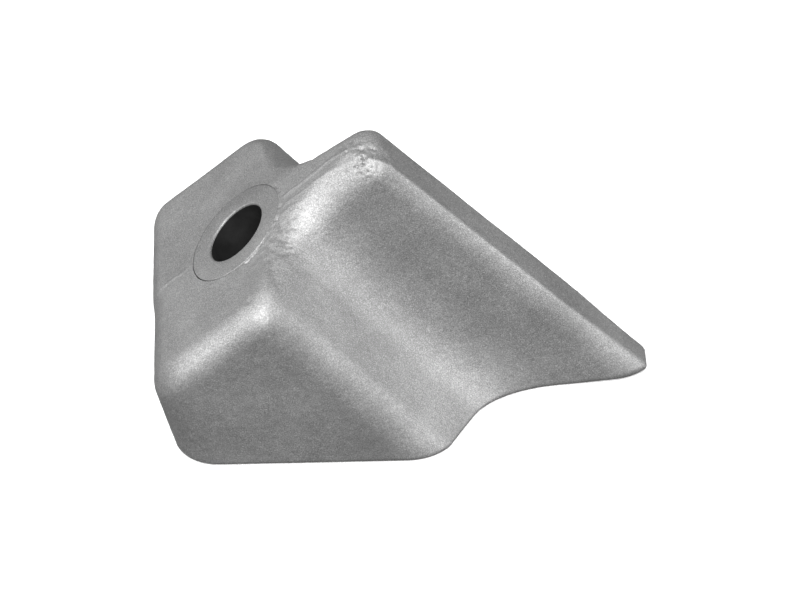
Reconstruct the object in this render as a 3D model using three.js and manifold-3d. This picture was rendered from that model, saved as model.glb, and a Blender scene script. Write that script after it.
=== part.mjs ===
// Cast bucket tooth with a sloped pin face, a scooped nose and a socket in its base.
// Millimetres, +Z up. The tooth stands on its base rim, with its nose towards +X, and its left and
// right halves mirror each other in the XZ plane.
// Two frames are used. The world frame has X along the base. The slope frame follows the pin face:
// u runs up the face from its rear edge, v is world Y, and n is the face's outward normal.

import * as THREE from "three";
import { mergeVertices } from "three/addons/utils/BufferGeometryUtils.js";
import Module from "manifold-3d";

const wasm = await Module();
wasm.setup();

// ---- Driving dimensions ----
const SLOPE = THREE.MathUtils.degToRad(42); // rise of the pin face above the base
const FACE_LENGTH = 86.9; // the pin face, from its rear edge to the nose
const REAR_HEIGHT = 28.7; // the rear edge of the pin face above the base
const REAR_UNDERCUT = THREE.MathUtils.degToRad(15); // lean of the rear wall
const TIP_X = 149.9; // the nose's foot, from the rear edge
const HALF_WIDTH = 43.5; // half the body's width
const FACE_EDGE_RADIUS = 9; // round between the pin face and the body's sides
const APEX_RADIUS = 8;
const REAR_EDGE_RADIUS = 7;
const REAR_CORNER_RADIUS = 9; // round between the rear wall and the body's sides
const FOOT_RADIUS = 1.5;
const TIP_RADIUS = 1;

// Plan profile across the nose, in the slope frame
const SHOULDER_U = 44.9; // where the side wall would meet the scoop, were they sharp
const SCOOP_ANGLE = THREE.MathUtils.degToRad(69); // how steeply the scoop leaves the shoulder
const SHOULDER_RADIUS = 11.2;
const SCOOP_RADIUS = 21.5;
const NOSE_HALF = 8.6; // half the nose's thickness at its leading face
const NOSE_TAPER = THREE.MathUtils.degToRad(6);
const NOSE_EDGE_RADIUS = 4;
const NOSE_ALLOWANCE = 0.6; // the profile runs past the leading face, which then cuts it flat
const SHOULDER_SPREAD = -0.012; // the shoulder moves back by this much per mm below the pin face

// Socket for the nose of the adapter
const PIN_WALL = 20; // thickness of the wall behind the pin face
const SOCKET_REAR = 17;
const SOCKET_REAR_DRAFT = 1;
const SOCKET_FRONT = 52;
const SOCKET_FRONT_TOP = 47;
const SOCKET_HEIGHT = 42;
const SOCKET_HALF_WIDTH = 31;
const SOCKET_HALF_WIDTH_TOP = 25;
const SOCKET_RADIUS = 3;

// Bore, its bush and what the bore holds. Depths run down the bore from the pin face.
const BORE_U = 35.3;
const BORE_RADIUS = 10.15;
const BUSH_RADIUS = 17;
const BUSH_LENGTH = 17.7;
const BUSH_PROUD = 0.3;
const BUSH_CHAMFER = 0.5;
const FIT_GAP = 0.3; // between pieces that touch
const SEAT_DEPTH = 52; // floor of the blind seat in front of the socket
const PIN_RADIUS = 9.85;
const PIN_TOP = 11;
const PIN_BOTTOM = 48.4;
const PIN_CHAMFER = 1.5;
const PULLER_RADIUS = 4.2; // tapped hole in the pin's head
const PULLER_DEPTH = 12;
const RING_TOP = 13.2;
const RING_THICKNESS = 1.6;
const RING_INNER = 8.8;
const RING_OUTER = 11;
const RING_GAP = THREE.MathUtils.degToRad(35);
const PIN_GROOVE_RADIUS = 7.6; // deep enough for the ring to close into it
const BUSH_GROOVE_RADIUS = 11.4;
const GROOVE_CLEARANCE = 0.3;
const CUSHION_THICKNESS = 3;
const CUSHION_RADIUS = 9.7;

const ROUND = 48; // facets round the bore
const ARC_STEPS = 8; // half the facets in each rounded corner

// ---- Frames ----
const UP_FACE = new THREE.Vector3(Math.cos(SLOPE), 0, Math.sin(SLOPE));
const SIDE = new THREE.Vector3(0, 1, 0);
const FACE_NORMAL = new THREE.Vector3().crossVectors(UP_FACE, SIDE);
const REAR_EDGE = new THREE.Vector3(0, 0, REAR_HEIGHT);
const APEX = REAR_EDGE.clone().addScaledVector(UP_FACE, FACE_LENGTH);
const LEADING = new THREE.Vector3(TIP_X, 0, 0).sub(APEX); // down the nose's leading face

// How far the nose moves forwards per mm below the pin face.
const NOSE_SPREAD = -LEADING.dot(UP_FACE) / LEADING.dot(FACE_NORMAL);

// Matrix that carries a shape's x, y and its extrusion to three world directions from an origin.
function frame(x, y, z, origin) {
  return new THREE.Matrix4().makeBasis(x, y, z).setPosition(origin);
}

const CENTRE = new THREE.Vector3();
const FORWARD = new THREE.Vector3(1, 0, 0);
const UP = new THREE.Vector3(0, 0, 1);
const ACROSS = frame(FORWARD, UP, SIDE.clone().negate(), CENTRE); // shapes drawn from the side
const ALONG = frame(SIDE, UP, FORWARD, CENTRE); // shapes drawn from the rear

// ---- Solids ----
function solidOf(geometry) {
  const plain = geometry.index ? geometry.toNonIndexed() : geometry.clone();
  plain.deleteAttribute("normal");
  plain.deleteAttribute("uv");
  const merged = mergeVertices(plain, 1e-4);
  return new wasm.Manifold(
    new wasm.Mesh({
      numProp: 3,
      vertProperties: merged.attributes.position.array,
      triVerts: new Uint32Array(merged.index.array),
    }),
  );
}

function geometryOf(solid) {
  const mesh = solid.getMesh();
  const geometry = new THREE.BufferGeometry();
  geometry.setAttribute("position", new THREE.BufferAttribute(mesh.vertProperties, 3));
  geometry.setIndex(new THREE.BufferAttribute(mesh.triVerts, 1));
  geometry.computeVertexNormals();
  return geometry;
}

// Closed outline of points [x, y, radius], each corner rounded to its radius by an arc.
function roundedShape(corners) {
  const shape = new THREE.Shape();
  const count = corners.length;
  corners.forEach(([x, y, radius], i) => {
    const here = new THREE.Vector2(x, y);
    const before = new THREE.Vector2(...corners[(i + count - 1) % count]);
    const after = new THREE.Vector2(...corners[(i + 1) % count]);
    if (!radius) {
      if (i === 0) shape.moveTo(x, y);
      else shape.lineTo(x, y);
      return;
    }
    const back = before.sub(here).normalize();
    const ahead = after.sub(here).normalize();
    const half = back.angleTo(ahead) / 2;
    const reach = radius / Math.tan(half);
    const start = here.clone().addScaledVector(back, reach);
    const end = here.clone().addScaledVector(ahead, reach);
    const middle = back.clone().add(ahead).normalize();
    const centre = here.clone().addScaledVector(middle, radius / Math.sin(half));
    const clockwise = back.cross(ahead) > 0;
    if (i === 0) shape.moveTo(start.x, start.y);
    else shape.lineTo(start.x, start.y);
    const from = start.sub(centre).angle();
    const to = end.sub(centre).angle();
    shape.absarc(centre.x, centre.y, radius, from, to, clockwise);
  });
  shape.closePath();
  return shape;
}

// Prism of a shape, centred on its frame's plane unless it starts at an offset.
function prism(shape, matrix, length, start = -length / 2) {
  const geometry = new THREE.ExtrudeGeometry(shape, {
    depth: length,
    bevelEnabled: false,
    curveSegments: ARC_STEPS,
  });
  geometry.translate(0, 0, start);
  return geometry.applyMatrix4(matrix);
}

// ---- Tooth casting ----
// Half thickness profile from the body's side, round the shoulder, down the scoop and along the nose.
function planShape() {
  const front = FACE_LENGTH + NOSE_ALLOWANCE;
  const wallSlope = Math.tan(SCOOP_ANGLE);
  const flankSlope = Math.tan(NOSE_TAPER);
  // The scoop's wall and the nose's flank meet at this sharp corner.
  const rootU =
    (HALF_WIDTH + wallSlope * SHOULDER_U - NOSE_HALF - flankSlope * front) /
    (wallSlope - flankSlope);
  const rootV = NOSE_HALF + flankSlope * (front - rootU);
  const side = (s) => [
    [front, s * NOSE_HALF, NOSE_EDGE_RADIUS],
    [rootU, s * rootV, SCOOP_RADIUS],
    [SHOULDER_U, s * HALF_WIDTH, SHOULDER_RADIUS],
    [-FACE_LENGTH, s * HALF_WIDTH, 0],
  ];
  return roundedShape([...side(-1).reverse(), ...side(1)]);
}

// How far a point of the profile moves along u at a depth below the pin face.
function spread(u, depth) {
  const share = (u - SHOULDER_U) / (FACE_LENGTH - SHOULDER_U);
  if (share < 0) return (SHOULDER_SPREAD * depth * u) / SHOULDER_U;
  return depth * (SHOULDER_SPREAD + (NOSE_SPREAD - SHOULDER_SPREAD) * share);
}

function planPrism() {
  const depth = TIP_X;
  const geometry = prism(planShape(), new THREE.Matrix4(), depth + 10, -depth);
  const points = geometry.attributes.position;
  for (let i = 0; i < points.count; i += 1) {
    const u = points.getX(i);
    points.setX(i, u + spread(u, -points.getZ(i)));
  }
  return solidOf(geometry.applyMatrix4(frame(UP_FACE, SIDE, FACE_NORMAL, REAR_EDGE)));
}

// Side outline: rear wall, base, leading face and pin face.
function sidePrism() {
  const outline = roundedShape([
    [REAR_HEIGHT * Math.tan(REAR_UNDERCUT), 0, FOOT_RADIUS],
    [TIP_X, 0, TIP_RADIUS],
    [APEX.x, APEX.z, APEX_RADIUS],
    [0, REAR_HEIGHT, REAR_EDGE_RADIUS],
  ]);
  return solidOf(prism(outline, ACROSS, 4 * HALF_WIDTH));
}

// Plan outline carried up along the rear wall, which rounds the two rear corners.
function rearPrism() {
  const foot = REAR_HEIGHT * Math.tan(REAR_UNDERCUT);
  const outline = roundedShape([
    [foot, -HALF_WIDTH, REAR_CORNER_RADIUS],
    [2 * TIP_X, -HALF_WIDTH, 0],
    [2 * TIP_X, HALF_WIDTH, 0],
    [foot, HALF_WIDTH, REAR_CORNER_RADIUS],
  ]);
  const upRearWall = new THREE.Vector3(-Math.tan(REAR_UNDERCUT), 0, 1);
  return solidOf(prism(outline, frame(FORWARD, SIDE, upRearWall, CENTRE), 4 * TIP_X));
}

// Section across the pin face, which rounds its two long edges.
function sectionPrism() {
  const deep = 2 * TIP_X;
  const outline = roundedShape([
    [-HALF_WIDTH, -deep, 0],
    [HALF_WIDTH, -deep, 0],
    [HALF_WIDTH, 0, FACE_EDGE_RADIUS],
    [-HALF_WIDTH, 0, FACE_EDGE_RADIUS],
  ]);
  return solidOf(prism(outline, frame(SIDE, FACE_NORMAL, UP_FACE, REAR_EDGE), 4 * TIP_X));
}

// Socket: a side outline with a sloped roof, narrowed towards its top by a second prism.
function socket() {
  const roofAt = (x) => REAR_HEIGHT + x * Math.tan(SLOPE) - PIN_WALL / Math.cos(SLOPE);
  const rearTop = SOCKET_REAR + SOCKET_REAR_DRAFT;
  const roofEnd = (SOCKET_HEIGHT - roofAt(0)) / Math.tan(SLOPE);
  const below = -5;
  const outline = roundedShape([
    [SOCKET_REAR, below, 0],
    [SOCKET_FRONT, below, 0],
    [SOCKET_FRONT_TOP, SOCKET_HEIGHT, SOCKET_RADIUS / 2],
    [roofEnd, SOCKET_HEIGHT, SOCKET_RADIUS / 2],
    [rearTop, roofAt(rearTop), SOCKET_RADIUS],
  ]);
  const narrowing = roundedShape([
    [-SOCKET_HALF_WIDTH, below, 0],
    [SOCKET_HALF_WIDTH, below, 0],
    [SOCKET_HALF_WIDTH_TOP, SOCKET_HEIGHT + 1, SOCKET_RADIUS],
    [-SOCKET_HALF_WIDTH_TOP, SOCKET_HEIGHT + 1, SOCKET_RADIUS],
  ]);
  return solidOf(prism(outline, ACROSS, 4 * HALF_WIDTH)).intersect(
    solidOf(prism(narrowing, ALONG, 4 * TIP_X)),
  );
}

// Lathe of [radius, depth] points about the bore's axis. Depth runs down local -Y.
function turned(points) {
  const profile = points.map(([radius, depth]) => new THREE.Vector2(radius, -depth));
  return new THREE.LatheGeometry(profile, ROUND);
}

// Solid cylinder about the bore's axis between two depths.
function plug(radius, top, bottom) {
  return turned([
    [0, bottom],
    [radius, bottom],
    [radius, top],
    [0, top],
  ]);
}

// The bore group's frame: local Y is the pin face's normal, and its origin is the bore's mouth.
const boreFrame = frame(
  UP_FACE.clone().negate(),
  FACE_NORMAL,
  SIDE,
  REAR_EDGE.clone().addScaledVector(UP_FACE, BORE_U),
);

function castingGeometry() {
  const outer = planPrism().intersect(sidePrism()).intersect(sectionPrism()).intersect(rearPrism());
  const cuts = [
    plug(BUSH_RADIUS + FIT_GAP, -10, BUSH_LENGTH + FIT_GAP),
    plug(BORE_RADIUS, -10, SEAT_DEPTH),
  ];
  return geometryOf(
    cuts.reduce(
      (solid, cut) => solid.subtract(solidOf(cut.applyMatrix4(boreFrame))),
      outer.subtract(socket()),
    ),
  );
}

// ---- Pieces in the bore ----
function bushGeometry() {
  const grooveTop = RING_TOP - GROOVE_CLEARANCE;
  const grooveBottom = RING_TOP + RING_THICKNESS + GROOVE_CLEARANCE;
  return turned([
    [BORE_RADIUS, BUSH_LENGTH],
    [BUSH_RADIUS - BUSH_CHAMFER, BUSH_LENGTH],
    [BUSH_RADIUS, BUSH_LENGTH - BUSH_CHAMFER],
    [BUSH_RADIUS, -BUSH_PROUD],
    [BORE_RADIUS, -BUSH_PROUD],
    [BORE_RADIUS, grooveTop],
    [BUSH_GROOVE_RADIUS, grooveTop],
    [BUSH_GROOVE_RADIUS, grooveBottom],
    [BORE_RADIUS, grooveBottom],
    [BORE_RADIUS, BUSH_LENGTH],
  ]);
}

function pinGeometry() {
  const grooveTop = RING_TOP - GROOVE_CLEARANCE;
  const grooveBottom = RING_TOP + RING_THICKNESS + GROOVE_CLEARANCE;
  return turned([
    [0, PIN_BOTTOM],
    [PIN_RADIUS - PIN_CHAMFER, PIN_BOTTOM],
    [PIN_RADIUS, PIN_BOTTOM - PIN_CHAMFER],
    [PIN_RADIUS, grooveBottom],
    [PIN_GROOVE_RADIUS, grooveBottom],
    [PIN_GROOVE_RADIUS, grooveTop],
    [PIN_RADIUS, grooveTop],
    [PIN_RADIUS, PIN_TOP + 1],
    [PIN_RADIUS - 1, PIN_TOP],
    [PULLER_RADIUS + 1, PIN_TOP],
    [PULLER_RADIUS, PIN_TOP + 1],
    [PULLER_RADIUS, PIN_TOP + PULLER_DEPTH],
    [0, PIN_TOP + PULLER_DEPTH + PULLER_RADIUS / 2],
  ]);
}

// Split spring ring: a flat ring with a gap, drawn as an arc-sided shape and extruded to thickness.
function ringGeometry() {
  const from = RING_GAP / 2;
  const to = 2 * Math.PI - from;
  const shape = new THREE.Shape();
  shape.absarc(0, 0, RING_OUTER, from, to, false);
  shape.absarc(0, 0, RING_INNER, to, from, true);
  shape.closePath();
  const geometry = new THREE.ExtrudeGeometry(shape, {
    depth: RING_THICKNESS,
    bevelEnabled: false,
    curveSegments: ROUND / 2,
  });
  geometry.rotateX(-Math.PI / 2);
  return geometry.translate(0, -(RING_TOP + RING_THICKNESS), 0);
}

function cushionGeometry() {
  const top = SEAT_DEPTH - FIT_GAP - CUSHION_THICKNESS;
  const bottom = SEAT_DEPTH - FIT_GAP;
  return turned([
    [0, bottom],
    [CUSHION_RADIUS - 0.5, bottom],
    [CUSHION_RADIUS, bottom - 0.5],
    [CUSHION_RADIUS, top + 0.5],
    [CUSHION_RADIUS - 0.5, top],
    [0, top],
  ]);
}

// ---- Assembly ----
function material(color, roughness, metalness) {
  return new THREE.MeshStandardMaterial({ color, roughness, metalness });
}

function named(name, geometry, look) {
  const mesh = new THREE.Mesh(geometry, look);
  mesh.name = name;
  return mesh;
}

const castSteel = material(0x8e8e8e, 0.6, 0.6);
const hardSteel = material(0x969694, 0.45, 0.8);
const springSteel = material(0x3a3a3c, 0.4, 0.9);
const elastomer = material(0x1b1b1b, 0.8, 0);

const casting = named("tooth_casting", castingGeometry(), castSteel);

const bore = new THREE.Group();
bore.applyMatrix4(boreFrame);
bore.add(named("bore_bush", bushGeometry(), hardSteel));
bore.add(named("retaining_pin", pinGeometry(), hardSteel));
bore.add(named("snap_ring", ringGeometry(), springSteel));
bore.add(named("pin_cushion", cushionGeometry(), elastomer));

const tooth = new THREE.Group();
tooth.add(casting, bore);

// The origin is under the middle of the casting's box, on the base.
const box = new THREE.Box3().setFromObject(casting);
const part = new THREE.Group();
tooth.position.set(-(box.min.x + box.max.x) / 2, 0, -box.min.z);
part.add(tooth);

export default part;
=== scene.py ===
"""Cast bucket tooth in shot-blasted steel, with its bush, retaining pin, snap ring and cushion.

All lengths are in metres and all positions are in the part's own frame. Points on the casting are
also given in the slope frame: u runs up the pin face from its rear edge, v is Y, and n points out
of the pin face.
"""

import math

import bmesh
import bpy
import numpy as np
from mathutils import Matrix, Vector, noise


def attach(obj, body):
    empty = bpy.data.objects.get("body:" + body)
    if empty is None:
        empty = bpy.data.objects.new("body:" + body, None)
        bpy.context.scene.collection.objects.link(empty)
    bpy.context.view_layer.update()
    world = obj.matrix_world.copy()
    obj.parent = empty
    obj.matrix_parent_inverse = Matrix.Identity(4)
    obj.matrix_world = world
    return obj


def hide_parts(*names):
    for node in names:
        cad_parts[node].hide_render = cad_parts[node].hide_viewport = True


MM = 0.001

# ---- Casting ----
ORIGIN_X = 74.694  # from the rear edge forward to the frame's origin, in mm
SLOPE = math.radians(42)
REAR_EDGE = np.array([-ORIGIN_X, 0, 28.7]) * MM
FACE_LENGTH = 86.9 * MM
REAR_UNDERCUT = math.radians(15)
TIP_X = (149.9 - ORIGIN_X) * MM
HALF_WIDTH = 43.5 * MM
SHOULDER_U = 44.9 * MM
SCOOP_ANGLE = math.radians(69)
SHOULDER_RADIUS = 11.2 * MM
SCOOP_RADIUS = 21.5 * MM
NOSE_HALF = 8.6 * MM
NOSE_HALF_U = FACE_LENGTH + 0.6 * MM  # where the nose has that half thickness
NOSE_TAPER = math.radians(6)
SHOULDER_SPREAD = -0.012  # how far the shoulder moves along u for each unit of depth
PROFILE_PAST_NOSE = 20 * MM
PROFILE_PAST_FACE = 15 * MM
PROFILE_SAMPLES = 1200

# ---- Edges of the casting ----
FACE_EDGE_RADIUS = 8.5 * MM
SCOOP_EDGE_RADIUS = 13.5 * MM
SCOOP_CREASE = 2.2 * MM  # the scoop's edge is rounded against a plane this far above the pin face
CREASE_RADIUS = 0.6 * MM  # and meets the pin face itself in a crease of this radius
APEX_RADIUS = 9 * MM
NEAR_APEX_RADIUS = 11 * MM
NOSE_EDGE_RADIUS = 8.5 * MM
NOSE_CREASE = 2.2 * MM  # the nose's edges have the same crease against the leading face
NOSE_CREASE_RADIUS = 0.4 * MM
TIP_CREASE_LOSS = 0.6  # the share of the nose's crease that is gone at its tip
REAR_EDGE_RADIUS = 8 * MM
REAR_CORNER_RADIUS = 12 * MM
FAR_CORNER_LOSS = 0.5  # the rear corner on the +Y side is this much tighter than on the -Y side
FAR_EDGE_SHARE = 0.7  # the pin face's edges on the +Y side, as a share of those on the -Y side
FOOT_RADIUS = 1.6 * MM
TIP_RADIUS = 3.4 * MM  # the foot's round at the nose's tip
INNER_RADIUS = 1.2 * MM

# Where one edge radius gives way to the next: the start and the end of each change
TIP_ZONE = (TIP_X - 30 * MM, TIP_X - 4 * MM)
FAR_ZONE = (-5 * MM, 5 * MM)
REAR_ZONE = (18 * MM, 4 * MM)
SIDE_ZONE = (SHOULDER_U + 20 * MM, SHOULDER_U - 4 * MM)
APEX_ZONE = (FACE_LENGTH - 22 * MM, FACE_LENGTH - 6 * MM)

# ---- Socket ----
PIN_WALL = 20 * MM
SOCKET_REAR = (17 - ORIGIN_X) * MM
SOCKET_DRAFT = 1 / 42
SOCKET_FRONT = (52 - ORIGIN_X) * MM
SOCKET_FRONT_DRAFT = 5 / 42
SOCKET_HEIGHT = 42 * MM
SOCKET_HALF_WIDTH = 31 * MM
SOCKET_SIDE_DRAFT = 6 / 48
SOCKET_RADIUS = 3 * MM

# ---- Bore, its bush and what the bore holds ----
BORE_U = 35.3 * MM
BORE_RADIUS = 10.15 * MM
BUSH_RADIUS = 17 * MM
BUSH_LENGTH = 17.7 * MM
SEAT_DEPTH = 52 * MM
FIT_GAP = 0.3 * MM
PIN_RADIUS = 9.85 * MM
PIN_TOP = 11 * MM
PIN_BOTTOM = 48.4 * MM
PIN_GROOVE_RADIUS = 7.6 * MM
PULLER_RADIUS = 4.2 * MM
PULLER_DEPTH = 12 * MM
RING_TOP = 13.2 * MM
RING_THICKNESS = 1.6 * MM
RING_INNER = 8.8 * MM
RING_OUTER = 11 * MM
RING_GAP = math.radians(35)
BUSH_GROOVE_RADIUS = 11.4 * MM
GROOVE_CLEARANCE = 0.3 * MM
CUSHION_RADIUS = 9.7 * MM
CUSHION_THICKNESS = 3 * MM
MERGE_DISTANCE = 1e-6

UP_FACE = np.array([math.cos(SLOPE), 0, math.sin(SLOPE)])
FACE_NORMAL = np.array([-math.sin(SLOPE), 0, math.cos(SLOPE)])
APEX = REAR_EDGE + UP_FACE * FACE_LENGTH
LEADING = np.array([TIP_X, 0, 0]) - APEX
NOSE_SPREAD = -(LEADING @ UP_FACE) / (LEADING @ FACE_NORMAL)
MOUTH = REAR_EDGE + UP_FACE * BORE_U

# ---- Mesh of the casting ----
CAST_STEP = 0.55 * MM
MARGIN = 1.5 * MM
EVENING_ROUNDS = 3
PROJECTIONS = 3
GRADIENT_STEP = 0.05 * MM
FLATTEST = 0.2  # the least squared gradient that a projection divides by
SKIN_DEPTH = 0.3 * MM  # the cast relief ends this far from the outside surface
BASE_FADE = 2 * MM  # and fades out over this height above the base
DRILL_START = 4 * MM  # how far above the pin face the drills start
SHARP_ANGLE = math.radians(40)
SEAM = 0.16 * MM
SEAT_SHIFT = 0.13 * MM  # the bush's seat lies this far down the slope from the bush
TURNED_STEPS = 160
RING_STEPS = 120

# ---- Cast surface relief ----
RELIEF_SEED = Vector((3.1, 7.7, 1.3))
NOISE_FALLOFF = 0.7
NOISE_LACUNARITY = 2.1
WAVE_SIZE, WAVE_HEIGHT = 16 * MM, 0.08 * MM
SKIN_SIZE, SKIN_HEIGHT = 3.2 * MM, 0.05 * MM
WANDER_SIZE, WANDER = 9 * MM, 0.9 * MM
FACE_BELOW, FACE_ABOVE = 3 * MM, 1 * MM
FLASH_WIDTH = 0.9 * MM
FLASH_AHEAD, FLASH_BEHIND = 0.3 * MM, 0.22 * MM
FLASH_BLEND = 3 * MM
WITNESS_LINES = (-4.2 * MM, -7.4 * MM)
WITNESS_WIDTH, WITNESS_HEIGHT = 0.8 * MM, 0.2 * MM
WITNESS_WANDER = 0.6
# The torn patch at the apex: its middle, its reach along u and v, and its depth
TEAR_U, TEAR_V = FACE_LENGTH - 4 * MM, -NOSE_HALF + 4 * MM
TEAR_LENGTH, TEAR_WIDTH, TEAR_DEPTH = 5 * MM, 6.5 * MM, 16 * MM
LUMP_SIZE, LUMP_HEIGHT = 2 * MM, 0.14 * MM
TEAR_SIZE, TEAR_LEVEL, TEAR_CUT = 1.5 * MM, 0.22, 1.9 * MM
RAGGED_SIZE, RAGGED_REACH = 2.6 * MM, 2.2 * MM
STEP_ZONE = (FACE_LENGTH - 4.6 * MM, FACE_LENGTH - 4 * MM)
STEP_DEPTH = 0.35 * MM
# The broken flash round the bush
BROKEN_SIZE, BROKEN_CONTRAST = 2.2 * MM, 5
BROKEN_OUT, BROKEN_WIDTH, BROKEN_DEPTH = 0.8 * MM, 0.7 * MM, 0.6 * MM
BROKEN_FACING = (0.85, -0.5)
BROKEN_ZONE = (4 * MM, 12 * MM)
# The folded skin beside the near scoop's edge: its middle, its reach along u and v, and its depth
FOLD_U, FOLD_V = 56 * MM, -19 * MM
FOLD_LENGTH, FOLD_WIDTH, FOLD_DEPTH = 16 * MM, 9 * MM, 15 * MM
FOLD_SIZE, FOLD_HEIGHT = 3 * MM, 0.3 * MM
FOLD_STRETCH = np.array([1, 1.8, 1])
# Small casting pits near the pin face: u, v, size and depth
DENTS = [
    (66 * MM, 9 * MM, 1.0 * MM, 0.9 * MM),
    (76 * MM, -6 * MM, 0.8 * MM, 0.5 * MM),
    (79 * MM, -8 * MM, 1.0 * MM, 0.6 * MM),
    (81 * MM, -5 * MM, 0.7 * MM, 0.5 * MM),
    (40 * MM, -36 * MM, 0.9 * MM, 0.35 * MM),
]
DENT_FADE = 4 * MM

# ---- Fillets of the turned pieces ----
BUSH_MOUTH_FILLET = 0.7 * MM
BUSH_RIM_FILLET = 0.35 * MM
BUSH_FOOT_FILLET = 0.5 * MM
BUSH_BORE_FILLET = 0.3 * MM
BUSH_GROOVE_FILLET = 0.1 * MM
PIN_FOOT_FILLET = 1.5 * MM
PIN_TOP_FILLET = 0.9 * MM
PIN_GROOVE_FILLET = 0.15 * MM
PULLER_FILLET = 0.6 * MM
PULLER_FLOOR_FILLET = 0.3 * MM
CUSHION_FILLET = 0.6 * MM
RING_FILLET = 0.25 * MM

# ---- Finish ----
CAST_SHADE = 0.34
BUSH_SHADE = 0.31
PIN_SHADE = 0.2
SPRING_SHADE = 0.1
MACHINED_ROUGHNESS = 0.45
# The bush's faces deeper than this below its mouth, and nearer the axis than that, get near-black
# painted shade
BORE_SHADE_FROM = 0.6 * MM
BORE_SHADE_ACROSS = BUSH_GROOVE_RADIUS + 0.2 * MM

# ---- Stage ----
FLOOR_SIZE = 8
FLOOR_Z = -0.0002
FLOOR_SHADE = 0.92
FLOOR_ROUGHNESS = 0.9
FLOOR_GLOW = 0.25
LIGHT_DISTANCE = 1.6
# Area lights: name, direction, size and power
LIGHTS = [
    ("top", (-0.06, -0.57, 0.82), 1.1, 37.5),
    ("back", (-0.9, 0.35, 0.3), 1.0, 6),
    ("left", (-0.8, -0.45, 0.4), 1.1, 15.5),
    ("right", (0.92, -0.22, 0.3), 1.0, 13.5),
]
WORLD_STRENGTH = 0.9
WORLD_UP = (0.1, -0.35, 0.93)  # the direction in which the world gets lighter
# The world's shade at two heights along that direction, from 0 at the bottom to 1 at the top
WORLD_LOW = (0.42, 0.16)
WORLD_HIGH = (0.85, 0.36)
CAMERA_AZIMUTH = math.radians(-1.905)
CAMERA_ELEVATION = math.radians(38.671)
CAMERA_ROLL = math.radians(0.013)
CAMERA_DISTANCE = 1.371
CAMERA_CENTRE = Vector((0, 0, 0.035))
CAMERA_DROP = 7.20 * MM  # the camera aims this far below the centre
CAMERA_LEFT = 0.57 * MM  # and this far to the left of it
SENSOR_WIDTH = 36
LENS = 210.3
CLIP_END = 20


# ---- Distance fields: negative inside, metres ----
def round_max(a, b, radius):
    """Intersection of two fields whose common edge is rounded."""
    over = np.hypot(np.maximum(a + radius, 0), np.maximum(b + radius, 0))
    return np.minimum(np.maximum(a, b), -radius) + over


def share(value, start, end):
    """0 at the start and before it, 1 at the end and past it, and a smooth rise between."""
    t = np.clip((value - start) / (end - start), 0, 1)
    return t * t * (3 - 2 * t)


def round_polyline(corners, steps=25):
    """Points along an open polyline of (x, y, radius) whose inner corners are rounded by arcs."""
    points = [np.array(corners[0][:2])]
    for before, here, after in zip(corners, corners[1:], corners[2:]):
        corner, radius = np.array(here[:2]), here[2]
        back = np.array(before[:2]) - corner
        ahead = np.array(after[:2]) - corner
        back /= np.linalg.norm(back)
        ahead /= np.linalg.norm(ahead)
        half = math.acos(float(back @ ahead)) / 2
        middle = (back + ahead) / np.linalg.norm(back + ahead)
        centre = corner + middle * radius / math.sin(half)
        start = corner + back * radius / math.tan(half) - centre
        turn = math.pi - 2 * half
        sign = 1 if start[0] * ahead[1] - start[1] * ahead[0] > 0 else -1
        for a in np.linspace(0, 1, steps) * sign * turn:
            spun = [
                start[0] * math.cos(a) - start[1] * math.sin(a),
                start[0] * math.sin(a) + start[1] * math.cos(a),
            ]
            points.append(centre + np.array(spun))
    points.append(np.array(corners[-1][:2]))
    return np.array(points)


def flank_profile():
    """Half thickness of the casting against u, from the body's side to the nose."""
    wall = math.tan(SCOOP_ANGLE)
    flank = math.tan(NOSE_TAPER)
    root_u = (HALF_WIDTH + wall * SHOULDER_U - NOSE_HALF - flank * NOSE_HALF_U) / (wall - flank)
    root_v = NOSE_HALF + flank * (NOSE_HALF_U - root_u)
    return round_polyline([
        (-FACE_LENGTH, HALF_WIDTH, 0),
        (SHOULDER_U, HALF_WIDTH, SHOULDER_RADIUS),
        (root_u, root_v, SCOOP_RADIUS),
        (NOSE_HALF_U + PROFILE_PAST_NOSE, NOSE_HALF - flank * PROFILE_PAST_NOSE, 0),
    ])


PROFILE = flank_profile()
PROFILE_U = np.linspace(-FACE_LENGTH, FACE_LENGTH + PROFILE_PAST_FACE, PROFILE_SAMPLES)
PROFILE_V = np.interp(PROFILE_U, PROFILE[:, 0], PROFILE[:, 1])
PROFILE_SLOPE = np.gradient(PROFILE_V, PROFILE_U)


def slope_frame(p):
    """u, v and n of points, with u measured at the pin face so that the nose's spread is undone."""
    q = p - REAR_EDGE
    u, v, n = q @ UP_FACE, q[:, 1], q @ FACE_NORMAL
    depth = -n
    span = FACE_LENGTH - SHOULDER_U
    ahead = (u - depth * SHOULDER_SPREAD - SHOULDER_U) / (
        span + depth * (NOSE_SPREAD - SHOULDER_SPREAD)
    )
    behind = u / (1 + SHOULDER_SPREAD * depth / SHOULDER_U)
    return np.where(ahead > 0, SHOULDER_U + ahead * span, behind), v, n


def nose_field(u, v, at_tip):
    """The flanks and the leading face, with a creased round between them."""
    half = np.interp(u, PROFILE_U, PROFILE_V)
    steep = np.interp(u, PROFILE_U, PROFILE_SLOPE)
    flank = (np.abs(v) - half) / np.sqrt(1 + steep**2)
    leading = u - FACE_LENGTH
    crease = NOSE_CREASE * (1 - TIP_CREASE_LOSS * at_tip)
    rounded = round_max(flank, leading - crease, NOSE_EDGE_RADIUS)
    return round_max(rounded, leading, NOSE_CREASE_RADIUS)


def rear_field(p):
    """The rear, which leans in below the pin face's rear edge."""
    behind = -(p[:, 0] - REAR_EDGE[0]) * math.cos(REAR_UNDERCUT)
    return behind + (REAR_EDGE[2] - p[:, 2]) * math.sin(REAR_UNDERCUT)


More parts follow.
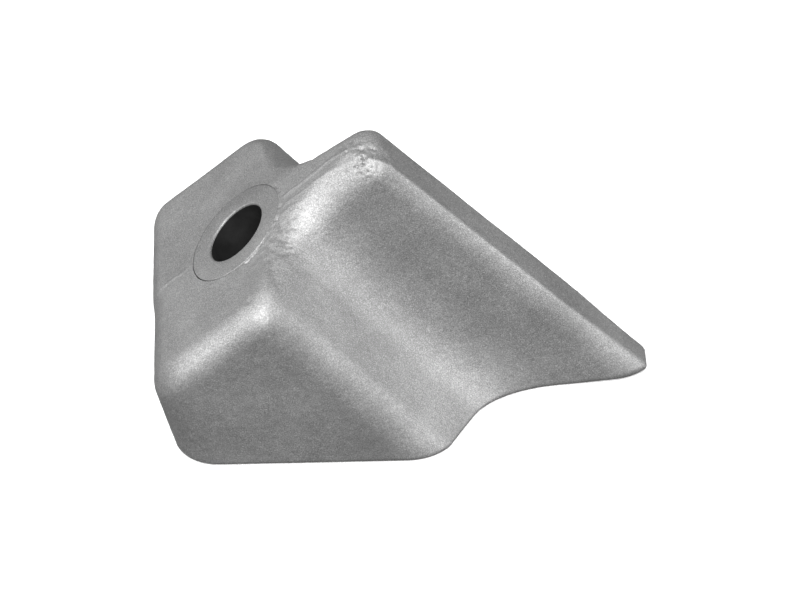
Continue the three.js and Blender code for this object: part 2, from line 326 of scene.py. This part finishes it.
def face_edges(u, far):
    """The radius of the pin face's edges, and the height of the crease along the scoop's edge."""
    at_rear = share(u, *REAR_ZONE)
    at_side = share(u, *SIDE_ZONE)
    at_apex = share(u, *APEX_ZONE)
    radius = SCOOP_EDGE_RADIUS + (FACE_EDGE_RADIUS - SCOOP_EDGE_RADIUS) * at_side
    radius = radius + (REAR_EDGE_RADIUS - radius) * at_rear
    apex_radius = NEAR_APEX_RADIUS + (APEX_RADIUS - NEAR_APEX_RADIUS) * far
    radius = radius + (apex_radius - radius) * at_apex
    radius = radius * (1 - (1 - FAR_EDGE_SHARE) * far)
    crease = SCOOP_CREASE * (1 - at_side) * (1 - at_apex) * (1 - at_rear)
    return radius, crease


def outer_field(p):
    """The casting's outside."""
    u, v, n = slope_frame(p)
    at_tip = share(p[:, 0], *TIP_ZONE)
    far = share(v, *FAR_ZONE)
    corner = REAR_CORNER_RADIUS * (1 - FAR_CORNER_LOSS * far)
    body = round_max(nose_field(u, v, at_tip), rear_field(p), corner)
    radius, crease = face_edges(u, far)
    topped = round_max(round_max(body, n - crease, radius), n, CREASE_RADIUS)
    foot = FOOT_RADIUS + (TIP_RADIUS - FOOT_RADIUS) * at_tip
    return round_max(topped, -p[:, 2], foot)


def socket_field(p):
    """The hollow for the adapter's nose."""
    x, y, z = p.T
    roof_z = REAR_EDGE[2] + (x - REAR_EDGE[0]) * math.tan(SLOPE) - PIN_WALL / math.cos(SLOPE)
    roof = (z - roof_z) * math.cos(SLOPE)
    rear = SOCKET_REAR + SOCKET_DRAFT * z - x
    front = x - SOCKET_FRONT + SOCKET_FRONT_DRAFT * z
    side = np.abs(y) - SOCKET_HALF_WIDTH + SOCKET_SIDE_DRAFT * z
    hollow = round_max(rear, front, SOCKET_RADIUS)
    hollow = round_max(hollow, side, SOCKET_RADIUS)
    hollow = round_max(hollow, roof, SOCKET_RADIUS)
    return round_max(hollow, z - SOCKET_HEIGHT, SOCKET_RADIUS / 2)


def casting_field(p):
    """The casting before its bore is cut."""
    return round_max(outer_field(p), -socket_field(p), INNER_RADIUS)


def gradient(field, p):
    """Slope of a field at points, from the differences across a small step."""
    slopes = []
    for axis in np.eye(3) * GRADIENT_STEP:
        slopes.append((field(p + axis) - field(p - axis)) / (2 * GRADIENT_STEP))
    return np.stack(slopes, axis=1)


# ---- Cast surface relief ----
def octaves(points, scale, depth):
    """Fractal noise at points, about -1 to 1, with features of a given size in metres."""
    return np.array([
        noise.fractal(Vector(q) / scale + RELIEF_SEED, NOISE_FALLOFF, NOISE_LACUNARITY, depth)
        for q in points
    ])


def bump(distance, width):
    """A smooth ridge across a line: 1 on it and 0 beyond its width."""
    t = np.clip(np.abs(distance) / width, 0, 1)
    return (1 - t * t) ** 2


def parting_lines(p, u, v, n):
    """Parting line flash down the middle of the pin face, with two fainter witness lines by it."""
    wander = octaves(p * np.array([1, 0, 1]), WANDER_SIZE, 2) * WANDER
    ahead = np.clip((u - BORE_U - BUSH_RADIUS) / FLASH_BLEND, 0, 1)
    behind = np.clip((BORE_U - BUSH_RADIUS - u) / FLASH_BLEND, 0, 1)
    flash = bump(v - wander, FLASH_WIDTH) * (FLASH_AHEAD * ahead + FLASH_BEHIND * behind)
    for line in WITNESS_LINES:
        ridge = bump(v - line - WITNESS_WANDER * wander, WITNESS_WIDTH)
        flash += ridge * WITNESS_HEIGHT * ahead
    return flash * np.clip(1 + n / FACE_BELOW, 0, 1) * np.clip(1 - n / FACE_ABOVE, 0, 1)


def apex_tears(p, u, v, n):
    """Broken flash and small tears at the apex."""
    near = np.exp(-((u - TEAR_U) ** 2) / TEAR_LENGTH**2)
    near *= np.exp(-((v - TEAR_V) ** 2) / TEAR_WIDTH**2)
    near *= np.clip(1 + n / TEAR_DEPTH, 0, 1)
    lumps = octaves(p, LUMP_SIZE, 3) * LUMP_HEIGHT
    tears = np.clip(octaves(p, TEAR_SIZE, 2) - TEAR_LEVEL, 0, 1) * TEAR_CUT
    ragged = u + octaves(p, RAGGED_SIZE, 2) * RAGGED_REACH
    return (lumps - tears - share(ragged, *STEP_ZONE) * STEP_DEPTH) * near


def bush_flash(p, u, v):
    """Short broken grooves round the side of the bush that faces the nose."""
    from_bore = np.hypot(u - BORE_U, v)
    along_u, along_v = BROKEN_FACING
    facing = share(along_u * (u - BORE_U) + along_v * v, *BROKEN_ZONE)
    broken = np.clip(octaves(p, BROKEN_SIZE, 2) * BROKEN_CONTRAST, 0, 1)
    notch = bump(from_bore - BUSH_RADIUS - BROKEN_OUT, BROKEN_WIDTH)
    return notch * broken * facing * BROKEN_DEPTH


def folded_skin(p, u, v, n):
    """Rough skin along the near scoop's edge, where the metal folded as it filled the mould."""
    near = np.exp(-(((u - FOLD_U) / FOLD_LENGTH) ** 2) - ((v - FOLD_V) / FOLD_WIDTH) ** 2)
    near *= np.clip(1 + n / FOLD_DEPTH, 0, 1)
    return octaves(p * FOLD_STRETCH, FOLD_SIZE, 3) * FOLD_HEIGHT * near


def dents(u, v, n):
    """Depth of the small casting pits."""
    total = np.zeros(len(u))
    for at_u, at_v, size, depth in DENTS:
        away = np.hypot(u - at_u, v - at_v) / size
        total += depth * np.exp(-(away**2)) * np.clip(1 + n / DENT_FADE, 0, 1)
    return total


def relief(p):
    """Height of the cast skin above the design surface."""
    u, v, n = slope_frame(p)
    wave = octaves(p, WAVE_SIZE, 2) * WAVE_HEIGHT
    skin = octaves(p, SKIN_SIZE, 2) * SKIN_HEIGHT + folded_skin(p, u, v, n)
    torn = apex_tears(p, u, v, n) - bush_flash(p, u, v)
    return wave + skin + parting_lines(p, u, v, n) + torn - dents(u, v, n)


# ---- Meshes ----
def mesh_object(name, mesh):
    """A scene object for a mesh."""
    obj = bpy.data.objects.new(name, mesh)
    bpy.context.scene.collection.objects.link(obj)
    return obj


def smooth(obj):
    """Smooth shading on all of an object's faces."""
    for face in obj.data.polygons:
        face.use_smooth = True


def neighbour_cells(index, axis):
    """The four cells round each grid edge along an axis, in order round it."""
    first, second = [(1, 2), (2, 0), (0, 1)][axis]
    corners = []
    for back in ((1, 1), (0, 1), (0, 0), (1, 0)):
        cell = index.copy()
        cell[:, first] -= back[0]
        cell[:, second] -= back[1]
        corners.append(cell)
    return corners


def net(field, low, high, step):
    """Vertices and quads of a field's zero surface, one vertex in each grid cell that it crosses."""
    axes = [np.arange(a, b + step, step) for a, b in zip(low, high)]
    inside = np.empty([len(a) for a in axes], dtype=bool)
    across = np.stack(np.meshgrid(axes[1], axes[2], indexing="ij"), axis=-1).reshape(-1, 2)
    for i, x in enumerate(axes[0]):
        plane = np.column_stack([np.full(len(across), x), across])
        inside[i] = (field(plane) < 0).reshape(inside.shape[1:])
    count = np.zeros(np.array(inside.shape) - 1, dtype=np.int8)
    for i in (0, 1):
        for j in (0, 1):
            for k in (0, 1):
                size = count.shape
                count += inside[i : i + size[0], j : j + size[1], k : k + size[2]]
    crossed = (count > 0) & (count < 8)
    number = np.full(count.shape, -1)
    number[crossed] = np.arange(crossed.sum())
    points = np.argwhere(crossed) * step + step / 2 + np.array([a[0] for a in axes])
    quads = []
    for axis in range(3):
        here = np.swapaxes(inside, 0, axis)
        changes = np.argwhere(here[1:] != here[:-1])
        leaving = here[tuple(changes.T)]
        changes[:, [0, axis]] = changes[:, [axis, 0]]
        corners = [number[tuple(c.T)] for c in neighbour_cells(changes, axis)]
        quad = np.stack(corners, axis=1)
        quad[~leaving] = quad[~leaving][:, ::-1]
        quads.append(quad)
    return points, np.concatenate(quads)


def evened(points, quads):
    """Points moved halfway to the mean of their neighbours."""
    a = np.concatenate([quads[:, i] for i in range(4)])
    b = np.concatenate([quads[:, (i + 1) % 4] for i in range(4)])
    total = np.stack(
        [np.bincount(a, points[b, i], len(points)) for i in range(3)], axis=1
    )
    return (points + total / np.bincount(a, minlength=len(points))[:, None]) / 2


def settled(p):
    """Points moved onto the casting's surface."""
    for _ in range(PROJECTIONS):
        slope = gradient(casting_field, p)
        size = np.maximum((slope**2).sum(axis=1), FLATTEST)
        p = p - slope * (casting_field(p) / size)[:, None]
    return p


def cut(obj, tool):
    """Takes a tool's solid out of an object, and the tool out of the scene."""
    modifier = obj.modifiers.new("cut", "BOOLEAN")
    modifier.operation = "DIFFERENCE"
    modifier.solver = "EXACT"
    modifier.object = tool
    depsgraph = bpy.context.evaluated_depsgraph_get()
    mesh = bpy.data.meshes.new_from_object(obj.evaluated_get(depsgraph))
    obj.modifiers.clear()
    obj.data = mesh
    bpy.data.objects.remove(tool)


def cast_surface():
    """Points and quads of the casting's surface, with its relief, before its bore is drilled."""
    step = CAST_STEP * 1
    low = np.array([REAR_EDGE[0] - MARGIN, -HALF_WIDTH - MARGIN, -MARGIN])
    high = np.array([TIP_X + MARGIN, HALF_WIDTH + MARGIN, APEX[2] + MARGIN])
    points, quads = net(casting_field, low, high, step)
    for _ in range(EVENING_ROUNDS):
        points = settled(evened(points, quads))
    slope = gradient(casting_field, points)
    slope /= np.linalg.norm(slope, axis=1)[:, None]
    outside = np.clip(1 - np.abs(outer_field(points)) / SKIN_DEPTH, 0, 1)
    above_base = np.clip(points[:, 2] / BASE_FADE, 0, 1)
    return points + slope * (relief(points) * outside * above_base)[:, None], quads


def make_casting():
    """The cast body, with the bush's seat and then the bore drilled in it."""
    points, quads = cast_surface()
    mesh = bpy.data.meshes.new("cast_body")
    mesh.from_pydata(points.tolist(), [], quads.tolist())
    obj = mesh_object("cast_body", mesh)
    top = -DRILL_START
    for radius, bottom, aside in (
        (BUSH_RADIUS + SEAM, BUSH_LENGTH + FIT_GAP, SEAT_SHIFT),
        (BORE_RADIUS, SEAT_DEPTH, 0),
    ):
        drill = turned("drill", [(0, top), (radius, top), (radius, bottom), (0, bottom)])
        drill.data.transform(Matrix.Translation(Vector(-UP_FACE * aside)))
        cut(obj, drill)
    obj.data.set_sharp_from_angle(angle=SHARP_ANGLE)
    return obj


def ring_point(out, radius, depth):
    """A point at a radius from the bore's axis and a depth below the pin face."""
    return MOUTH + out * radius - FACE_NORMAL * depth


def finished(bm, name):
    """A smooth object from bmesh data whose normals are set to face out."""
    bmesh.ops.recalc_face_normals(bm, faces=bm.faces)
    mesh = bpy.data.meshes.new(name)
    bm.to_mesh(mesh)
    bm.free()
    obj = mesh_object(name, mesh)
    smooth(obj)
    return obj


def turned(name, profile):
    """A closed profile of (radius, depth) points turned about the bore's axis."""
    bm = bmesh.new()
    rings = []
    for i in range(TURNED_STEPS):
        a = 2 * math.pi * i / TURNED_STEPS
        out = np.array([0, 1, 0]) * math.sin(a) + UP_FACE * math.cos(a)
        rings.append([bm.verts.new(ring_point(out, radius, depth)) for radius, depth in profile])
    count = len(profile)
    off_axis = [j for j in range(count) if profile[j][0] or profile[(j + 1) % count][0]]
    for i in range(TURNED_STEPS):
        here, after = rings[i], rings[(i + 1) % TURNED_STEPS]
        for j in off_axis:
            k = (j + 1) % count
            bm.faces.new((here[j], here[k], after[k], after[j]))
    bmesh.ops.remove_doubles(bm, verts=bm.verts, dist=MERGE_DISTANCE)
    return finished(bm, name)


def filleted(corners, steps=5):
    """A closed profile of (radius, depth, fillet) corners, each rounded by its fillet."""
    points = []
    count = len(corners)
    for i, (x, y, fillet) in enumerate(corners):
        here = np.array([x, y])
        if not fillet:
            points.append(here)
            continue
        back = np.array(corners[i - 1][:2]) - here
        ahead = np.array(corners[(i + 1) % count][:2]) - here
        back *= fillet / np.linalg.norm(back)
        ahead *= fillet / np.linalg.norm(ahead)
        for t in np.linspace(0, 1, steps):
            points.append(here + back * (1 - t) ** 2 + ahead * t**2)
    return points


def groove_depths():
    """Top and bottom depths of the groove that the snap ring runs in."""
    return RING_TOP - GROOVE_CLEARANCE, RING_TOP + RING_THICKNESS + GROOVE_CLEARANCE


def make_bush():
    top, bottom = groove_depths()
    return turned("bush_ring", filleted([
        (BORE_RADIUS, 0, BUSH_MOUTH_FILLET),
        (BORE_RADIUS, top, BUSH_GROOVE_FILLET),
        (BUSH_GROOVE_RADIUS, top, BUSH_GROOVE_FILLET),
        (BUSH_GROOVE_RADIUS, bottom, BUSH_GROOVE_FILLET),
        (BORE_RADIUS, bottom, BUSH_GROOVE_FILLET),
        (BORE_RADIUS, BUSH_LENGTH, BUSH_BORE_FILLET),
        (BUSH_RADIUS, BUSH_LENGTH, BUSH_FOOT_FILLET),
        (BUSH_RADIUS, 0, BUSH_RIM_FILLET),
    ]))


def make_pin():
    top, bottom = groove_depths()
    cone = PIN_TOP + PULLER_DEPTH
    return turned("pin_body", filleted([
        (0, PIN_BOTTOM, 0),
        (PIN_RADIUS, PIN_BOTTOM, PIN_FOOT_FILLET),
        (PIN_RADIUS, bottom, PIN_GROOVE_FILLET),
        (PIN_GROOVE_RADIUS, bottom, PIN_GROOVE_FILLET),
        (PIN_GROOVE_RADIUS, top, PIN_GROOVE_FILLET),
        (PIN_RADIUS, top, PIN_GROOVE_FILLET),
        (PIN_RADIUS, PIN_TOP, PIN_TOP_FILLET),
        (PULLER_RADIUS, PIN_TOP, PULLER_FILLET),
        (PULLER_RADIUS, cone, PULLER_FLOOR_FILLET),
        (0, cone + PULLER_RADIUS / 2, 0),
    ]))


def make_cushion():
    top = SEAT_DEPTH - FIT_GAP - CUSHION_THICKNESS
    bottom = SEAT_DEPTH - FIT_GAP
    return turned("cushion_pad", filleted([
        (0, bottom, 0),
        (CUSHION_RADIUS, bottom, CUSHION_FILLET),
        (CUSHION_RADIUS, top, CUSHION_FILLET),
        (0, top, 0),
    ]))


def make_ring():
    """A split ring of rounded rectangular wire, swept from one side of its gap to the other."""
    low, high = RING_TOP + RING_THICKNESS, RING_TOP
    section = filleted([
        (RING_INNER, high, RING_FILLET),
        (RING_OUTER, high, RING_FILLET),
        (RING_OUTER, low, RING_FILLET),
        (RING_INNER, low, RING_FILLET),
    ], steps=4)
    bm = bmesh.new()
    rings = []
    for a in np.linspace(RING_GAP / 2, 2 * math.pi - RING_GAP / 2, RING_STEPS):
        # The gap faces down the slope.
        out = np.array([0, 1, 0]) * math.sin(a) - UP_FACE * math.cos(a)
        rings.append([bm.verts.new(ring_point(out, radius, depth)) for radius, depth in section])
    for here, after in zip(rings, rings[1:]):
        for j in range(len(section)):
            k = (j + 1) % len(section)
            bm.faces.new((here[j], here[k], after[k], after[j]))
    bm.faces.new(rings[0])
    bm.faces.new(rings[-1])
    return finished(bm, "ring_wire")


# ---- Materials ----
class Nodes:
    """Short names for building a material's node tree."""

    def __init__(self, name):
        self.material = bpy.data.materials.new(name)
        self.material.use_nodes = True
        self.tree = self.material.node_tree
        self.shader = self.tree.nodes["Principled BSDF"]
        coordinates = self.tree.nodes.new("ShaderNodeTexCoord")
        self.object = coordinates.outputs["Object"]

    def link(self, output, socket):
        self.tree.links.new(output, socket)

    def drive(self, name, output):
        """Links an output to one of the shader's inputs."""
        self.link(output, self.shader.inputs[name])

    def noise(self, scale, detail=3.0, roughness=0.55):
        """Noise with a scale in features to a metre."""
        node = self.tree.nodes.new("ShaderNodeTexNoise")
        node.inputs["Scale"].default_value = scale
        node.inputs["Detail"].default_value = detail
        node.inputs["Roughness"].default_value = roughness
        self.link(self.object, node.inputs["Vector"])
        return node.outputs["Fac"]

    def ramp(self, value, stops):
        """A value turned to grey by (position, shade) stops."""
        node = self.tree.nodes.new("ShaderNodeValToRGB")
        elements = node.color_ramp.elements
        while len(elements) < len(stops):
            elements.new(0.5)
        for element, (position, shade) in zip(elements, stops):
            element.position = position
            element.color = (shade, shade, shade, 1)
        self.link(value, node.inputs["Fac"])
        return node.outputs["Color"]

    def product(self, a, b):
        node = self.tree.nodes.new("ShaderNodeMix")
        node.data_type = "RGBA"
        node.blend_type = "MULTIPLY"
        node.inputs["Factor"].default_value = 1.0
        self.link(a, node.inputs["A"])
        self.link(b, node.inputs["B"])
        return node.outputs["Result"]

    def bump(self, height, distance, strength, under=None):
        node = self.tree.nodes.new("ShaderNodeBump")
        node.inputs["Strength"].default_value = strength
        node.inputs["Distance"].default_value = distance
        self.link(height, node.inputs["Height"])
        if under is not None:
            self.link(under, node.inputs["Normal"])
        return node.outputs["Normal"]


def blasted_steel(name, shade):
    """Grey shot-blasted steel: mottled, finely grained, with bright specks."""
    n = Nodes(name)
    mottle = n.ramp(n.noise(scale=55, detail=4), [(0.3, shade * 0.86), (0.7, shade * 1.1)])
    blotch = n.ramp(n.noise(scale=18), [(0.35, 0.9), (0.65, 1.08)])
    fine = n.noise(scale=2900, detail=2, roughness=0.8)
    grain = n.ramp(fine, [(0.3, 0.6), (0.52, 0.97), (0.72, 1.62)])
    n.drive("Base Color", n.product(n.product(mottle, blotch), grain))
    n.shader.inputs["Metallic"].default_value = 0.75
    n.drive("Roughness", n.ramp(n.noise(scale=700), [(0.3, 0.53), (0.7, 0.66)]))
    pits = n.noise(scale=420, detail=4, roughness=0.6)
    coarse = n.bump(pits, distance=0.25 * MM, strength=0.5)
    peened = n.noise(scale=1500, roughness=0.7)
    n.drive("Normal", n.bump(peened, distance=0.12 * MM, strength=0.6, under=coarse))
    return n.material


def machined_steel(name, shade, roughness):
    """Turned steel, smoother than the casting, with a faint mottle."""
    n = Nodes(name)
    mottle = n.ramp(n.noise(scale=90, detail=4), [(0.3, shade * 0.8), (0.7, shade * 1.15)])
    n.drive("Base Color", mottle)
    n.shader.inputs["Metallic"].default_value = 0.9
    n.drive("Roughness", n.ramp(n.noise(scale=400), [(0.3, roughness * 0.8), (0.7, roughness * 1.2)]))
    n.drive("Normal", n.bump(n.noise(scale=1200), distance=0.05 * MM, strength=0.4))
    return n.material


def elastomer(name):
    """Black moulded rubber."""
    n = Nodes(name)
    n.drive("Base Color", n.ramp(n.noise(scale=200), [(0.3, 0.018), (0.7, 0.035)]))
    n.drive("Roughness", n.ramp(n.noise(scale=500, detail=2), [(0.3, 0.6), (0.7, 0.8)]))
    n.drive("Normal", n.bump(n.noise(scale=900), distance=0.06 * MM, strength=0.4))
    return n.material


def bore_shade_material(name):
    """Near-black painted shade for the inside of the bore."""
    n = Nodes(name)
    n.drive("Base Color", n.ramp(n.noise(scale=160, detail=4), [(0.3, 0.003), (0.7, 0.012)]))
    n.drive("Roughness", n.ramp(n.noise(scale=600), [(0.3, 0.6), (0.7, 0.8)]))
    n.drive("Normal", n.bump(n.noise(scale=1100), distance=0.08 * MM, strength=0.5))
    n.shader.inputs["Specular IOR Level"].default_value = 0.25
    return n.material


def dress(obj, material, body, node):
    """Gives a piece its material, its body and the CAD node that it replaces."""
    obj.data.materials.clear()
    obj.data.materials.append(material)
    obj.data.polygons.foreach_set("material_index", [0] * len(obj.data.polygons))
    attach(obj, body)
    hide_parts(node)


def paint_bore_shade(bush):
    """The faces of the bush below its rounded mouth, towards the bore's axis, get near-black painted
    shade.
    """
    # A near-black material painted on the bore's inner faces as shade
    bush.data.materials.append(bore_shade_material("painted_bore_shade"))
    for face in bush.data.polygons:
        q = np.array(face.center) - MOUTH
        depth = -(q @ FACE_NORMAL)
        across = math.hypot(q @ UP_FACE, q[1])
        if depth > BORE_SHADE_FROM and across < BORE_SHADE_ACROSS:
            face.material_index = 1


# ---- Stage ----
def make_floor(material):
    bpy.ops.mesh.primitive_plane_add(size=FLOOR_SIZE, location=(0, 0, FLOOR_Z))
    floor = bpy.context.object
    floor.name = "floor"
    floor.data.materials.append(material)
    floor.visible_diffuse = False
    floor.visible_glossy = False


def pale_floor():
    """A pale matt floor that glows a little, so that it stays white under soft light."""
    material = bpy.data.materials.new("pale_floor")
    material.use_nodes = True
    shader = material.node_tree.nodes["Principled BSDF"]
    shader.inputs["Base Color"].default_value = (FLOOR_SHADE, FLOOR_SHADE, FLOOR_SHADE, 1)
    shader.inputs["Roughness"].default_value = FLOOR_ROUGHNESS
    shader.inputs["Emission Color"].default_value = (1, 1, 1, 1)
    shader.inputs["Emission Strength"].default_value = FLOOR_GLOW
    return material


def soft_light(name, direction, size, power):
    """An area light that faces the tooth from a direction."""
    data = bpy.data.lights.new(name, "AREA")
    data.size = size
    data.energy = power
    light = bpy.data.objects.new(name, data)
    towards = Vector(direction).normalized()
    light.location = towards * LIGHT_DISTANCE
    light.rotation_euler = towards.to_track_quat("Z", "Y").to_euler()
    bpy.context.scene.collection.objects.link(light)


def make_world():
    """Grey surroundings that are lighter towards one direction."""
    world = bpy.data.worlds.new("studio")
    world.use_nodes = True
    tree = world.node_tree
    background = tree.nodes["Background"]
    background.inputs["Strength"].default_value = WORLD_STRENGTH
    place = tree.nodes.new("ShaderNodeTexCoord")
    height = tree.nodes.new("ShaderNodeVectorMath")
    height.operation = "DOT_PRODUCT"
    height.inputs[1].default_value = WORLD_UP
    ramp = tree.nodes.new("ShaderNodeValToRGB")
    # Moves the range -1 to 1 to 0 to 1.
    shift = tree.nodes.new("ShaderNodeMath")
    shift.operation = "MULTIPLY_ADD"
    shift.inputs[1].default_value = 0.5
    shift.inputs[2].default_value = 0.5
    for element, (position, shade) in zip(ramp.color_ramp.elements, (WORLD_LOW, WORLD_HIGH)):
        element.position = position
        element.color = (shade, shade, shade, 1)
    tree.links.new(place.outputs["Generated"], height.inputs[0])
    tree.links.new(height.outputs["Value"], shift.inputs[0])
    tree.links.new(shift.outputs[0], ramp.inputs["Fac"])
    tree.links.new(ramp.outputs["Color"], background.inputs["Color"])
    bpy.context.scene.world = world


def make_camera():
    """A long lens from the front left, high above the side of the tooth."""
    back = Vector((
        math.sin(CAMERA_AZIMUTH) * math.cos(CAMERA_ELEVATION),
        -math.cos(CAMERA_AZIMUTH) * math.cos(CAMERA_ELEVATION),
        math.sin(CAMERA_ELEVATION),
    ))
    data = bpy.data.cameras.new("camera")
    data.sensor_width = SENSOR_WIDTH
    data.lens = LENS
    data.clip_end = CLIP_END
    camera = bpy.data.objects.new("camera", data)
    right = Vector((0, 0, 1)).cross(back).normalized()
    up = back.cross(right)
    aim = CAMERA_CENTRE - up * CAMERA_DROP - right * CAMERA_LEFT
    turned_right = right * math.cos(CAMERA_ROLL) + up * math.sin(CAMERA_ROLL)
    turned_up = up * math.cos(CAMERA_ROLL) - right * math.sin(CAMERA_ROLL)
    basis = Matrix((turned_right, turned_up, back)).transposed().to_4x4()
    camera.matrix_world = Matrix.Translation(aim + back * CAMERA_DISTANCE) @ basis
    bpy.context.scene.collection.objects.link(camera)
    bpy.context.scene.camera = camera


# ---- Scene ----
bpy.context.scene.view_settings.view_transform = "Standard"
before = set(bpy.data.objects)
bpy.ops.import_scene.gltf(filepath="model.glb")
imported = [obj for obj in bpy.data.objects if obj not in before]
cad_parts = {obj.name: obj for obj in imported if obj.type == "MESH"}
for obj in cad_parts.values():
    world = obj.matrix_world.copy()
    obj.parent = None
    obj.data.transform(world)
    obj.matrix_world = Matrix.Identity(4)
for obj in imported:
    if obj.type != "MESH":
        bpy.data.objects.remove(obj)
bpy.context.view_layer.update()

cast_steel = blasted_steel("cast_steel_blasted", CAST_SHADE)
bush_steel = blasted_steel("bush_steel_blasted", BUSH_SHADE)
pin_steel = machined_steel("turned_steel", PIN_SHADE, MACHINED_ROUGHNESS)
spring_steel = machined_steel("spring_steel", SPRING_SHADE, MACHINED_ROUGHNESS)
dress(make_casting(), cast_steel, "tooth", "tooth_casting")
bush = make_bush()
dress(bush, bush_steel, "tooth", "bore_bush")
# Paints shade on the inside of the bore
paint_bore_shade(bush)
dress(make_cushion(), elastomer("black_elastomer"), "tooth", "pin_cushion")
dress(make_pin(), pin_steel, "pin", "retaining_pin")
dress(make_ring(), spring_steel, "pin", "snap_ring")

make_floor(pale_floor())
make_world()
for light in LIGHTS:
    soft_light(*light)
make_camera()
